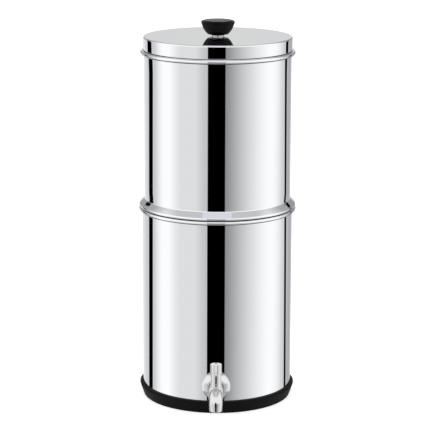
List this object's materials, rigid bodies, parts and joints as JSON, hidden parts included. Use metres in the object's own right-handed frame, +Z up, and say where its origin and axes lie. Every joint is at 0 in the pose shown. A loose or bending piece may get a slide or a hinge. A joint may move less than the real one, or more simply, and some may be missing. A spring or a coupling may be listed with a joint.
{
  "type": "gravity water filter",
  "caption": "Free-standing two-chamber gravity water filter: polished steel upper and lower chambers, lift-off lid with black knob, black base ring and a quarter-turn tap.",
  "frame": {"origin": "on the table at the axis of the chambers, at the centre of the base ring's underside", "axes": "+Z up along the chambers' axis, -Y towards the front where the tap is, +X to the right as seen from the front"},
  "size_m": [0.2268, 0.2814, 0.5484],
  "materials": {
    "polished_steel": "mirror-polished 304 stainless steel sheet",
    "tap_steel": "machined and polished 304 stainless steel",
    "plain_steel": "turned 304 stainless steel, left as machined",
    "brass": "turned brass",
    "black_rubber": "moulded black rubber, satin",
    "seal_rubber": "black nitrile O-rings",
    "black_phenolic": "moulded black phenolic, semi-gloss",
    "carbon": "pressed carbon block, matt and slightly grainy",
    "filter_plastic": "moulded black polypropylene, satin",
    "silicone": "translucent white food-grade silicone",
    "white_plastic": "moulded white nylon, satin"
  },
  "bodies": {
    "base": {"base_ring": "black_rubber", "lower_chamber": "polished_steel", "tap_body": "tap_steel", "tap_flange": "tap_steel", "tap_outer_gasket": "silicone", "tap_inner_gasket": "silicone", "tap_nut": "plain_steel", "tap_bonnet": "tap_steel", "bonnet_seal": "silicone", "stop_pin": "plain_steel"},
    "upper": {"upper_chamber": "polished_steel", "upper_chamber_ridge": "polished_steel", "upper_chamber_pan": "polished_steel", "filter_block_left": "carbon", "filter_block_right": "carbon", "filter_cap_left": "filter_plastic", "filter_cap_right": "filter_plastic", "filter_base_left": "filter_plastic", "filter_base_right": "filter_plastic", "filter_washer_left": "silicone", "filter_washer_right": "silicone", "filter_wing_nut_left": "white_plastic", "filter_wing_nut_right": "white_plastic", "blanking_plug_front": "filter_plastic", "blanking_plug_back": "filter_plastic", "plug_washer_front": "silicone", "plug_washer_back": "silicone", "plug_wing_nut_front": "white_plastic", "plug_wing_nut_back": "white_plastic"},
    "cover": {"lid": "polished_steel", "lid_knob": "black_phenolic", "knob_insert": "brass", "knob_spacer": "plain_steel", "knob_screw": "plain_steel", "knob_spring_washer": "plain_steel"},
    "handle": {"tap_spindle": "plain_steel", "spindle_o_rings": "seal_rubber", "tap_cap": "tap_steel", "tap_lever": "tap_steel", "tap_lever_pin": "plain_steel"}
  },
  "joints": [
    {"name": "upper_chamber_lift", "type": "slide", "parent": "base", "child": "upper", "axis": [0, 0, 1], "range_m": [0, 0.1]},
    {"name": "lid_lift", "type": "slide", "parent": "upper", "child": "cover", "axis": [0, 0, 1], "range_m": [0, 0.06]},
    {"name": "tap_turn", "type": "hinge", "parent": "base", "child": "handle", "pos_m": [0, -0.138, 0.0414], "axis": [0, 0, 1], "range_deg": [0, 90]}
  ]
}
